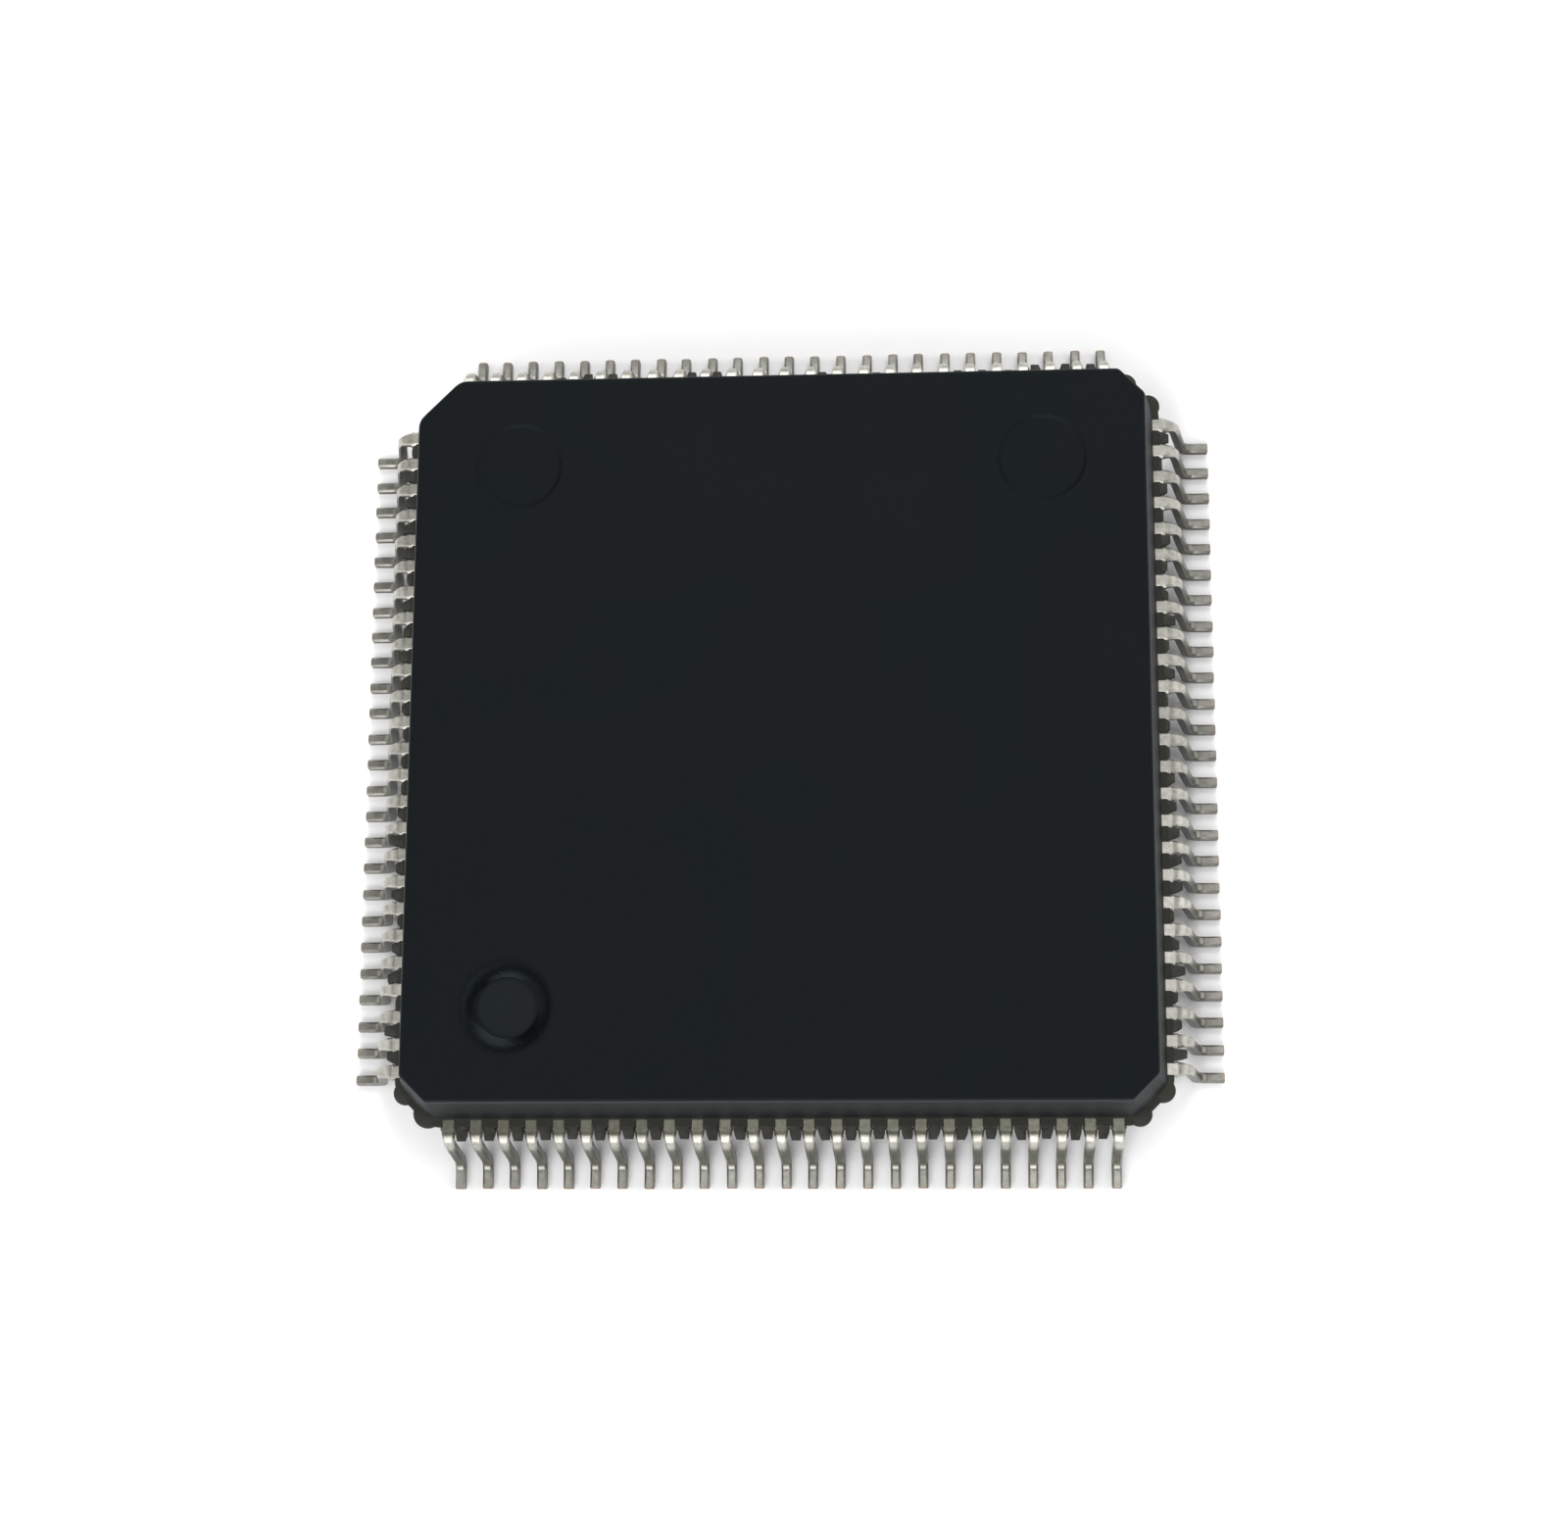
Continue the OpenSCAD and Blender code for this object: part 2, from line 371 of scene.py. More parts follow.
def spread(tree, value, low, high, to_low=0.0, to_high=1.0):
    """Stretches a value's range, clamped."""
    sockets = {"Value": value, "s1": low, "s2": high, "s3": to_low, "s4": to_high}
    return add_node(tree, "ShaderNodeMapRange", {"clamp": True}, **sockets).outputs[0]


def blend_colours(tree, factor, first, second, kind="MIX"):
    """Mixes two colours, given as sockets or as linear RGB."""
    made = tree.nodes.new("ShaderNodeMix")
    made.data_type = "RGBA"
    made.blend_type = kind
    for socket, value in zip((made.inputs[0], made.inputs[6], made.inputs[7]), (factor, first, second)):
        if isinstance(value, bpy.types.NodeSocket):
            tree.links.new(value, socket)
        elif isinstance(value, float):
            socket.default_value = value
        else:
            socket.default_value = (*value, 1.0)
    return made.outputs[2]


def bump(tree, height, strength, distance):
    """A bump normal, its distance in millimetres."""
    return add_node(
        tree, "ShaderNodeBump", Height=height, Strength=strength, Distance=distance * MM
    ).outputs[0]


def index_masks(tree, place, body):
    """Masks of the index dimple's polished wall and of its floor, from the distance to its axis."""
    reach = axis_distance(tree, place, -body.mark_x / MM, -body.mark_y / MM)
    floor, rim = body.index_floor / MM, body.index / MM
    disc = spread(tree, reach, floor - 0.05, floor + 0.04, 1.0, 0.0)
    outer = spread(tree, reach, rim - 0.05, rim + 0.07, 1.0, 0.0)
    return maths(tree, "SUBTRACT", outer, disc), disc


def mould_material(finish, body):
    """Near-black epoxy: spark-eroded grain on the flat faces, smoother drafted walls, fine filler specks; a
    painted highlight on the top rim, a paler resin ledge that also carries a painted highlight, painted
    shade and light in the index dimple.
    """
    made, tree, shader = blank_material("mould_compound")
    place = millimetre_place(tree)
    facing = axis(tree, add_node(tree, "ShaderNodeTexCoord").outputs["Normal"], "Z")
    level = axis(tree, place, "Z")
    flat = spread(tree, maths(tree, "ABSOLUTE", facing), 0.80, 0.98)
    patches = spread(tree, noise(tree, place, 0.35, 3.0), 0.35, 0.65)
    base = blend_colours(tree, patches, finish.mould, finish.mould_warm)
    specks = spread(tree, noise(tree, place, 22.0, 1.0), 0.70, 0.82, 0.0, 0.35)
    base = blend_colours(tree, specks, base, finish.speck)
    # The ledge and the ears, which lie next to the parting plane, are painted paler and browner: resin flash
    # colour, and a painted highlight on the ledge.
    off = maths(tree, "ABSOLUTE", maths(tree, "SUBTRACT", level, BODY_MID / MM))
    ledge = spread(tree, off, 0.12, 0.26, 0.8, 0.0)
    base = blend_colours(tree, ledge, base, finish.resin)
    # Painted highlight: the rounding of the top rim is painted paler where it faces outwards.
    top = BODY_HIGH.z / MM
    rim = spread(tree, level, top - 0.13, top - 0.05)
    rim = maths(tree, "MULTIPLY", rim, spread(tree, facing, 0.50, 0.80, 1.0, 0.0))
    base = blend_colours(tree, rim, base, finish.rim)
    # Painted shade on the dimple's wall and painted light on its floor; the ring mask also makes the wall
    # smoother below.
    ring, disc = index_masks(tree, place, body)
    base = blend_colours(tree, maths(tree, "MULTIPLY", ring, 0.8), base, finish.dimple_wall_shaded)
    base = blend_colours(tree, maths(tree, "MULTIPLY", disc, 0.6), base, finish.dimple_floor_lit)
    tree.links.new(base, shader.inputs["Base Color"])
    grain = noise(tree, place, 14.0, 4.0, 0.6)
    wall = maths(tree, "MULTIPLY_ADD", grain, 0.12, 0.46)
    face = maths(tree, "MULTIPLY_ADD", grain, 0.16, 0.56)
    rough = add_node(tree, "ShaderNodeMix", {"data_type": "FLOAT"}, s0=flat, s2=wall, s3=face).outputs[0]
    rough = maths(tree, "MULTIPLY", rough, maths(tree, "MULTIPLY_ADD", ring, -0.55, 1.0))
    tree.links.new(rough, shader.inputs["Roughness"])
    shader.inputs["Specular IOR Level"].default_value = 0.085
    shader.inputs["Specular Tint"].default_value = (0.74, 0.93, 1.0, 1.0)
    shader.inputs["IOR"].default_value = 1.55
    height = maths(tree, "MULTIPLY", grain, maths(tree, "MULTIPLY_ADD", flat, 0.7, 0.3))
    tree.links.new(bump(tree, height, 0.5, 0.012), shader.inputs["Normal"])
    return made


def resin_material(finish):
    """Thin translucent-looking resin flash, browner than the body, with a broken rough edge."""
    made, tree, shader = blank_material("resin_flash")
    place = millimetre_place(tree)
    tone = spread(tree, noise(tree, place, 6.0, 3.0), 0.3, 0.7)
    dark = [c * 0.5 for c in finish.resin]
    tree.links.new(blend_colours(tree, tone, dark, finish.resin), shader.inputs["Base Color"])
    grain = noise(tree, place, 18.0, 4.0, 0.65)
    tree.links.new(maths(tree, "MULTIPLY_ADD", grain, 0.3, 0.35), shader.inputs["Roughness"])
    shader.inputs["Specular IOR Level"].default_value = 0.2
    tree.links.new(bump(tree, grain, 0.8, 0.02), shader.inputs["Normal"])
    return made


def lead_material(finish):
    """Satin tin, with painted shade: olive-dark risers and flanks, greyer feet and darker front-row roots
    beside the bright shoulders; copper at the cut toes.
    """
    made, tree, shader = blank_material("lead_finish")
    place = millimetre_place(tree)
    along, flank, tone = (attribute(tree, name) for name in ("along", "flank", "tone"))
    wobble = maths(tree, "MULTIPLY_ADD", noise(tree, place, 5.0, 2.0), 0.06, -0.03)
    reach = maths(tree, "ADD", along, wobble)
    ramp = tree.nodes.new("ShaderNodeValToRGB")
    tree.links.new(reach, ramp.inputs["Fac"])
    # Painted shade along the lead: the risers darker and olive, the feet greyer than the bright shoulders,
    # where they face away from the light and sit between their neighbours.
    dull, bright = Vector(finish.tin_shaded), Vector(finish.tin)
    shoulder = [(0.0, bright), (0.16, bright)]
    riser = [(0.28, dull * 1.2), (0.50, dull * 0.8), (0.66, dull * 1.4)]
    foot = [(0.78, bright * 0.56), (1.0, bright * 0.66)]
    ramp.color_ramp.elements.remove(ramp.color_ramp.elements[1])
    for i, (at, rgb) in enumerate(shoulder + riser + foot):
        stop = ramp.color_ramp.elements[0] if i == 0 else ramp.color_ramp.elements.new(at)
        stop.position = at
        stop.color = (*rgb, 1.0)
    # Painted shade on the roots of the front row only, next to the body's edge.
    row_start = BODY_LOW.y / MM
    front = spread(tree, axis(tree, place, "Y"), row_start + 0.2, row_start + 0.4, 1.0, 0.0)
    root = maths(tree, "MULTIPLY", spread(tree, along, 0.045, 0.105, 0.85, 0.0), front)
    base = blend_colours(tree, root, ramp.outputs[0], dull)
    # Painted shade on the flanks, which face their neighbours.
    base = blend_colours(tree, maths(tree, "MULTIPLY", flank, 0.95), base, dull * 0.6)
    streaks = spread(tree, noise(tree, place, 9.0, 4.0, 0.6), 0.3, 0.75, 0.72, 1.12)
    level = maths(tree, "MULTIPLY", streaks, maths(tree, "MULTIPLY_ADD", tone, 0.24, 0.86))
    grey = add_node(tree, "ShaderNodeCombineColor", s0=level, s1=level, s2=level).outputs[0]
    base = blend_colours(tree, 1.0, base, grey, "MULTIPLY")
    cut = spread(tree, along, 0.985, 0.995)
    base = blend_colours(tree, maths(tree, "MULTIPLY", cut, 0.5), base, [c * 0.5 for c in finish.copper])
    tree.links.new(base, shader.inputs["Base Color"])
    shader.inputs["Metallic"].default_value = 0.85
    grain = noise(tree, place, 30.0, 3.0, 0.6)
    tree.links.new(maths(tree, "MULTIPLY_ADD", grain, 0.18, 0.22), shader.inputs["Roughness"])
    tree.links.new(bump(tree, grain, 0.35, 0.006), shader.inputs["Normal"])
    return made


def copper_material(finish):
    """Rolled copper-alloy frame with faint rolling lines and tarnish."""
    made, tree, shader = blank_material("copper_frame")
    place = millimetre_place(tree)
    rolled = vector_maths(tree, "MULTIPLY", place, (1.5, 40.0, 1.5))
    lines = noise(tree, rolled, 1.0, 3.0)
    tarnish = spread(tree, noise(tree, place, 1.2, 3.0), 0.4, 0.75)
    base = blend_colours(tree, tarnish, finish.copper, finish.tarnish)
    ends = spread(tree, axis_distance(tree, place), 8.9, 9.1)  # only the tie bars reach so far
    base = blend_colours(tree, ends, base, finish.bar_end)
    tree.links.new(base, shader.inputs["Base Color"])
    shader.inputs["Metallic"].default_value = 1.0
    tree.links.new(maths(tree, "MULTIPLY_ADD", lines, 0.25, 0.25), shader.inputs["Roughness"])
    tree.links.new(bump(tree, lines, 0.2, 0.004), shader.inputs["Normal"])
    return made


def epoxy_material():
    """Silver-filled die-attach epoxy: flaky, dull and uneven."""
    made, tree, shader = blank_material("silver_epoxy")
    place = millimetre_place(tree)
    flakes = add_node(tree, "ShaderNodeTexVoronoi", Vector=place, Scale=28.0).outputs["Distance"]
    base = blend_colours(tree, spread(tree, flakes, 0.1, 0.6), (0.62, 0.62, 0.60), (0.30, 0.30, 0.29))
    tree.links.new(base, shader.inputs["Base Color"])
    shader.inputs["Metallic"].default_value = 0.6
    tree.links.new(maths(tree, "MULTIPLY_ADD", flakes, 0.3, 0.4), shader.inputs["Roughness"])
    tree.links.new(bump(tree, flakes, 0.4, 0.006), shader.inputs["Normal"])
    return made


def silicon_material():
    """Polished silicon with the faint blocks and tracks of its circuit."""
    made, tree, shader = blank_material("silicon")
    place = millimetre_place(tree)
    blocks = add_node(
        tree,
        "ShaderNodeTexBrick",
        {"offset": 0.37, "squash": 1.6, "squash_frequency": 3},
        Vector=place,
        Color1=(0.16, 0.18, 0.25, 1.0),
        Color2=(0.26, 0.22, 0.22, 1.0),
        Mortar=(0.40, 0.40, 0.44, 1.0),
        Scale=1.7,
        s5=0.02,
    )
    cells = spread(tree, noise(tree, place, 16.0, 3.0), 0.4, 0.7, 0.0, 0.5)
    base = blend_colours(tree, cells, blocks.outputs["Color"], (0.10, 0.14, 0.20))
    tree.links.new(base, shader.inputs["Base Color"])
    shader.inputs["Metallic"].default_value = 0.75
    tree.links.new(maths(tree, "MULTIPLY_ADD", cells, 0.2, 0.16), shader.inputs["Roughness"])
    return made


def wire_metal(name, rgb, shine):
    """Drawn wire or pad metal with fine grain."""
    made, tree, shader = blank_material(name)
    place = millimetre_place(tree)
    grain = noise(tree, place, 60.0, 2.0)
    base = blend_colours(tree, grain, rgb, [c * 0.7 for c in rgb])
    tree.links.new(base, shader.inputs["Base Color"])
    shader.inputs["Metallic"].default_value = 1.0
    tree.links.new(maths(tree, "MULTIPLY_ADD", grain, 0.15, shine), shader.inputs["Roughness"])
    return made


def floor_material(finish):
    """Pale matt studio sheet."""
    made, tree, shader = blank_material("studio_floor")
    place = millimetre_place(tree)
    tone = noise(tree, place, 0.02, 2.0)
    base = blend_colours(tree, tone, finish.floor, [c * 0.985 for c in finish.floor])
    tree.links.new(base, shader.inputs["Base Color"])
    shader.inputs["Roughness"].default_value = 0.9
    return made


# ---------------------------------------------------------------- moulded body


def outline(body, inset, z):
    """The body's plan at one height: a square with cut and rounded corners, inset from the ledge."""
    half = BODY_HIGH.x - inset
    step = math.radians(45)
    ring = []
    for quarter in range(4):
        base = QUARTER * quarter
        chamfer = body.big_chamfer if quarter == 1 else body.chamfer  # 1 is the back left corner
        diagonal = (2 * BODY_HIGH.x - chamfer) / math.sqrt(2) - inset
        radius = max(body.corner * chamfer / body.chamfer - inset, 0.1 * MM)
        reach = radius / math.cos(step / 2)
        short = math.sqrt(2) * diagonal - half
        for k, (x, y) in enumerate(((half, short), (short, half))):
            mid = step * (k + 0.5)
            cx, cy = x - reach * math.cos(mid), y - reach * math.sin(mid)
            for px, py in arc(cx, cy, radius, step * k, step * (k + 1), 5):
                turned_x = px * math.cos(base) - py * math.sin(base)
                turned_y = px * math.sin(base) + py * math.cos(base)
                ring.append((turned_x, turned_y, z))
    return ring


def ledge_heights(thickness):
    """Underside and top of the resin ledge, just inside the lead thickness, so the leads lie bare."""
    half = thickness / 2 - 0.012 * MM
    return BODY_MID - half, BODY_MID + half


def body_profile(body, thickness):
    """Inset and height from the bottom face up to the top face, with round rims and a soft ledge."""
    low, high = ledge_heights(thickness)
    rise = (BODY_HIGH.z - BODY_LOW.z - thickness) / 2 * math.tan(body.draft)
    turn = QUARTER - body.draft
    rim_in = body.ledge + rise + body.rim * math.tan(turn / 2)
    soft = 0.015 * MM
    lower_arc = arc(rim_in, BODY_LOW.z + body.rim, body.rim, 3 * QUARTER, 3 * QUARTER - turn, 8)
    upper_arc = arc(rim_in, BODY_HIGH.z - body.rim, body.rim, QUARTER + turn, QUARTER, 8)
    ledge = [
        (body.ledge, low),
        (soft, low),
        (0.0, low + soft),
        (0.0, high - soft),
        (soft, high),
        (body.ledge, high),
    ]
    return lower_arc + ledge + upper_arc


def lathe(name, x, y, profile, segments=96):
    """A closed turned solid about a vertical axis at x, y, from (radius, z) pairs."""
    turns = [2 * math.pi * k / segments for k in range(segments)]
    rings = [[(x + r * math.cos(t), y + r * math.sin(t), z) for t in turns] for r, z in profile]
    made = new_mesh_object(name, *loft(rings))
    tidy_mesh(made)
    return made


def mark_cutters(body):
    """Cutters for the two upper ejector marks, the four lower ones and the index dimple."""
    top, under = BODY_HIGH.z, BODY_LOW.z
    clear = 0.2 * MM
    soft = 0.07 * MM

    def dish(x, y, face, way):
        """A shallow round mark with a soft wall and a faintly raised middle."""
        slope = soft / body.ejector_depth
        profile = [
            (0.55 * body.ejector, face - way * body.ejector_depth * 0.80),
            (body.ejector - soft, face - way * body.ejector_depth),
            (body.ejector, face),
            (body.ejector + clear * slope, face + way * clear),
        ]
        return lathe("cutter", x, y, profile)

    cutters = [dish(s * body.mark_x, body.mark_y, top, 1) for s in (-1, 1)]
    cutters += [dish(s * body.mark_x, t * body.mark_y, under, -1) for s in (-1, 1) for t in (-1, 1)]
    slope = (body.index - body.index_floor) / body.index_depth
    floor = top - body.index_depth
    dimple = [
        (body.index_floor * 0.5, floor + 0.012 * MM),
        (body.index_floor * 0.92, floor + 0.004 * MM),
        (body.index_floor + 0.03 * MM, floor),
        (body.index, top),
        (body.index + clear * slope, top + clear),
    ]
    cutters.append(lathe("cutter", -body.mark_x, -body.mark_y, dimple))
    return cutters


def ear(x, y, radius, low, high):
    """A small resin disc with softened edges."""
    soft = 0.05 * MM
    under = arc(radius - soft, low + soft, soft, -QUARTER, 0, 4)
    over = arc(radius - soft, high - soft, soft, 0, QUARTER, 4)
    profile = under + over + [(0.6 * radius, high + 0.5 * soft), (0.25 * radius, high + 0.8 * soft)]
    return lathe("ear", x, y, profile, 32)


class FLATPACK_OT_mould_body(bpy.types.Operator):
    """Moulds the epoxy body with its ledge, ears, ejector marks and index dimple"""

    bl_idname = "flatpack.mould_body"
    bl_label = "Moulded body"

    def execute(self, context):
        body = context.scene.flatpack_body
        thickness = context.scene.flatpack_leads.thickness
        rings = [outline(body, inset, z) for inset, z in body_profile(body, thickness)]
        shell = new_mesh_object("package_body", *loft(rings))
        tidy_mesh(shell)
        cutters = mark_cutters(body)
        for cutter in cutters:
            cut = shell.modifiers.new("mark", "BOOLEAN")
            cut.operation = "DIFFERENCE"
            cut.solver = "EXACT"
            cut.object = cutter
        bake_modifiers(shell)
        for cutter in cutters:
            remove_object(cutter)
        self.add_ears(context, shell, body, thickness)
        tidy_mesh(shell)
        shade(shell, 28)
        keep_flat(shell)
        set_finish(shell, mould_material(context.scene.flatpack_finish, body))
        finish_piece(shell, "mould_compound", "mould_body")
        return {"FINISHED"}

    def add_ears(self, context, shell, body, thickness):
        """Joins the ears at the ends of the ledges, except at the big chamfer, into the shell."""
        low, high = ledge_heights(thickness)
        work = bmesh.new()
        work.from_mesh(shell.data)
        for turn in SIDES.values():
            for way in (-1, 1):
                if (turn, way) in ((SIDES["back"], 1), (SIDES["left"], -1)):
                    continue
                radius = body.gate if (turn, way) == (SIDES["front"], -1) else body.ear
                out = BODY_HIGH.x - radius + 0.02 * MM
                at = Matrix.Rotation(math.radians(turn), 3, "Z") @ Vector((out, way * body.ear_place, 0))
                piece = ear(at.x, at.y, radius, low, high)
                work.from_mesh(piece.data)
                remove_object(piece)
        work.to_mesh(shell.data)
        work.free()


# ---------------------------------------------------------------- rows of like pieces


def fanned_row_tree():
    """Copies one item into a row whose pitch changes with the distance from the package centre."""
    tree = bpy.data.node_groups.new("fanned_row", "GeometryNodeTree")
    sockets = [
        ("Item", "NodeSocketObject", None),
        ("Count", "NodeSocketInt", 25),
        ("Near distance", "NodeSocketFloat", 0.0),
        ("Near pitch", "NodeSocketFloat", 0.0),
        ("Far distance", "NodeSocketFloat", 1.0),
        ("Far pitch", "NodeSocketFloat", 0.0),
        ("Root", "NodeSocketFloat", 0.0),
        ("Lean", "NodeSocketFloat", 0.0),
        ("Trim", "NodeSocketFloat", 0.0),
        ("Turn", "NodeSocketFloat", 0.0),
        ("Seed", "NodeSocketInt", 0),
        ("Finish", "NodeSocketMaterial", None),
    ]
    for name, kind, default in sockets:
        made = tree.interface.new_socket(name, in_out="INPUT", socket_type=kind)
        if default is not None:
            made.default_value = default
    tree.interface.new_socket("Geometry", in_out="OUTPUT", socket_type="NodeSocketGeometry")
    given = tree.nodes.new("NodeGroupInput").outputs

    line = add_node(tree, "GeometryNodeMeshLine", Count=given["Count"], Offset=(0.0, 0.0, 0.0))
    item = add_node(tree, "GeometryNodeObjectInfo", Object=given["Item"])
    copies = add_node(
        tree,
        "GeometryNodeInstanceOnPoints",
        Points=line.outputs[0],
        Instance=item.outputs["Geometry"],
    ).outputs[0]

    index = tree.nodes.new("GeometryNodeInputIndex").outputs[0]
    middle = maths(tree, "MULTIPLY_ADD", given["Count"], 0.5, -0.5)
    rank = maths(tree, "SUBTRACT", index, middle)

    def keep(geometry, name, value):
        store = add_node(
            tree,
            "GeometryNodeStoreNamedAttribute",
            {"data_type": "FLOAT", "domain": "INSTANCE"},
            Geometry=geometry,
            Name=name,
            Value=value,
        )
        return store.outputs[0]

    def chance(low, high, offset):
        seed = maths(tree, "ADD", given["Seed"], offset)
        drawn = add_node(
            tree, "FunctionNodeRandomValue", {"data_type": "FLOAT"}, ID=index, Seed=seed, s2=low, s3=high
        )
        return drawn.outputs[1]

    def stored(name):
        return add_node(
            tree, "GeometryNodeInputNamedAttribute", {"data_type": "FLOAT"}, Name=name
        ).outputs["Attribute"]

    copies = keep(copies, "rank", rank)
    copies = keep(copies, "tone", chance(0.0, 1.0, 1))
    copies = keep(copies, "lean", chance(-1.0, 1.0, 2))
    copies = keep(copies, "trim", chance(0.0, 1.0, 3))
    row = add_node(tree, "GeometryNodeRealizeInstances", Geometry=copies).outputs[0]

    point = tree.nodes.new("GeometryNodeInputPosition").outputs[0]
    outwards = axis(tree, point, "X")
    near, far = given["Near distance"], given["Far distance"]
    pitch = spread(tree, outwards, near, far, given["Near pitch"], given["Far pitch"])
    reach = maths(tree, "MAXIMUM", maths(tree, "SUBTRACT", outwards, given["Root"]), 0.0)
    sideways = maths(tree, "MULTIPLY", maths(tree, "MULTIPLY", reach, given["Lean"]), stored("lean"))
    sideways = maths(tree, "MULTIPLY_ADD", stored("rank"), pitch, sideways)
    short = maths(tree, "MULTIPLY", maths(tree, "MULTIPLY", reach, given["Trim"]), stored("trim"))
    shift = add_node(
        tree, "ShaderNodeCombineXYZ", X=maths(tree, "MULTIPLY", short, -1.0), Y=sideways
    ).outputs[0]
    row = add_node(tree, "GeometryNodeSetPosition", Geometry=row, Offset=shift).outputs[0]
    turn = add_node(tree, "ShaderNodeCombineXYZ", Z=given["Turn"]).outputs[0]
    row = add_node(tree, "GeometryNodeTransform", Geometry=row, Rotation=turn).outputs[0]
    row = add_node(tree, "GeometryNodeRealizeInstances", Geometry=row).outputs[0]
    row = add_node(tree, "GeometryNodeSetMaterial", Geometry=row, Material=given["Finish"]).outputs[0]
    add_node(tree, "NodeGroupOutput", Geometry=row)
    return tree


def grow_row(name, item, turn, seed, material, **inputs):
    """Runs the fanned-row tree for one side and returns the plain mesh object."""
    tree = bpy.data.node_groups.get("fanned_row") or fanned_row_tree()
    row = new_mesh_object(name, [], [])
    modifier = row.modifiers.new("row", "NODES")
    modifier.node_group = tree
    values = {"Item": item, "Turn": math.radians(turn), "Seed": seed, "Finish": material}
    values.update({key.replace("_", " "): value for key, value in inputs.items()})
    for socket in tree.interface.items_tree:
        if socket.in_out == "INPUT" and socket.name in values:
            modifier[socket.identifier] = values[socket.name]
    row.update_tag()
    bake_modifiers(row)
    for spare in ("rank", "lean", "trim"):
        row.data.attributes.remove(row.data.attributes[spare])
    return row


def grow_rows(name, item, seed, material, own=None, **inputs):
    """Grows a row on each side and removes the item; own holds the inputs that one side has of its own."""
    rows = {}
    for number, (side, turn) in enumerate(SIDES.items()):
        given = {**inputs, **(own or {}).get(side, {})}
        rows[side] = grow_row(f"{name}_{side}", item, turn, seed + SEED_STEP * number, material, **given)
    remove_object(item)
    return rows


# ---------------------------------------------------------------- leads


def lead_stations(lead):
    """Centre line of one lead from inner tip to toe: (x, z, slope, half width)."""
    root = BODY_HIGH.x
    bend = lead.bend + lead.thickness / 2
    first = root + lead.shoulder
    drop = 2 * bend * (1 - math.cos(lead.riser))
    fall = BODY_MID - lead.thickness / 2 - drop
    foot = first + 2 * bend * math.sin(lead.riser) + fall / math.tan(lead.riser)
    half, wide = lead.width / 2, lead.root_width / 2
    stub_start, step = root + 0.020 * MM, 0.006 * MM
    stations = [
        (LEAD_LOW.x, BODY_MID, 0.0, lead.tip_width / 2),
        (root - lead.fan, BODY_MID, 0.0, wide),
        (stub_start, BODY_MID, 0.0, wide),
        (stub_start + step, BODY_MID, 0.0, wide + lead.stub),
        (first - step, BODY_MID, 0.0, wide + lead.stub),
        (first, BODY_MID, 0.0, wide),
    ]
    steps, narrow_by = 5, 3  # points in a bend, and the point by which the lead has its free width
    upper = arc(first, BODY_MID - bend, bend, QUARTER, QUARTER - lead.riser, steps)
    for k, (x, z) in enumerate(upper[1:], 1):
        stations.append((x, z, -lead.riser * k / steps, wide + (half - wide) * min(1.0, k / narrow_by)))
    lower = arc(foot, lead.thickness / 2 + bend, bend, 3 * QUARTER - lead.riser, 3 * QUARTER, steps)
    for k, (x, z) in enumerate(lower):
        stations.append((x, z, -lead.riser * (1 - k / steps), half))
    toe_start, toe_taper = LEAD_HIGH.x - 0.02 * MM, 0.012 * MM
    stations.append((toe_start, lead.thickness / 2, 0.0, half))
    stations.append((LEAD_HIGH.x, lead.thickness / 2, 0.0, half - toe_taper))
    return stations


def lead_item(lead):
    """One lead as a lofted bar with softened edges, carrying each point's share of the free length."""
    stations = lead_stations(lead)
    upper, lower = lead.edge, lead.edge * 0.4
    depth = lead.thickness / 2
    rings = []
    for x, z, slope, half in stations:
        section = [
            (upper - half, depth),
            (-half, depth - upper),
            (-half, lower - depth),
            (lower - half, -depth),
            (half - lower, -depth),
            (half, lower - depth),
            (half, depth - upper),
            (half - upper, depth),
        ]
        ring = [(x - h * math.sin(slope), y, z + h * math.cos(slope)) for y, h in section]
        rings.append(ring)
    item = new_mesh_object("lead_item", *loft(rings))

    travelled = [0.0]
    for a, b in zip(stations, stations[1:]):
        travelled.append(travelled[-1] + math.hypot(b[0] - a[0], b[1] - a[1]))
    start = next(t for t, s in zip(travelled, stations) if s[0] >= BODY_HIGH.x)
    shares = [max(0.0, (t - start) / (travelled[-1] - start)) for t in travelled]
    along = item.data.attributes.new("along", "FLOAT", "POINT")
    n = len(rings[0])
    along.data.foreach_set("value", [share for share in shares for _ in range(n)])
    # Flank faces, which the lead finish paints in shade.
    flank = item.data.attributes.new("flank", "FLOAT", "FACE")
    flank.data.foreach_set("value", [1.0 if abs(f.normal.y) > 0.9 else 0.0 for f in item.data.polygons])
    return item


class FLATPACK_OT_lead_rows(bpy.types.Operator):
    """Forms the four rows of gull-wing leads"""

    bl_idname = "flatpack.lead_rows"
    bl_label = "Lead rows"

    def execute(self, context):
        lead = context.scene.flatpack_leads
        material = lead_material(context.scene.flatpack_finish)
        rows = grow_rows(
            "lead_row",
            lead_item(lead),
            0,
            material,
            Count=lead.count,
            Near_distance=LEAD_LOW.x,
            Near_pitch=lead.tip_pitch,
            Far_distance=BODY_HIGH.x - lead.fan,
            Far_pitch=lead.pitch,
            Root=BODY_HIGH.x + lead.shoulder,
            Lean=lead.lean,
            Trim=lead.trim,
        )
        for side, row in rows.items():
            shade(row, 40)
            finish_piece(row, "lead_finish", f"leads_{side}")
        return {"FINISHED"}


# ---------------------------------------------------------------- resin between the roots


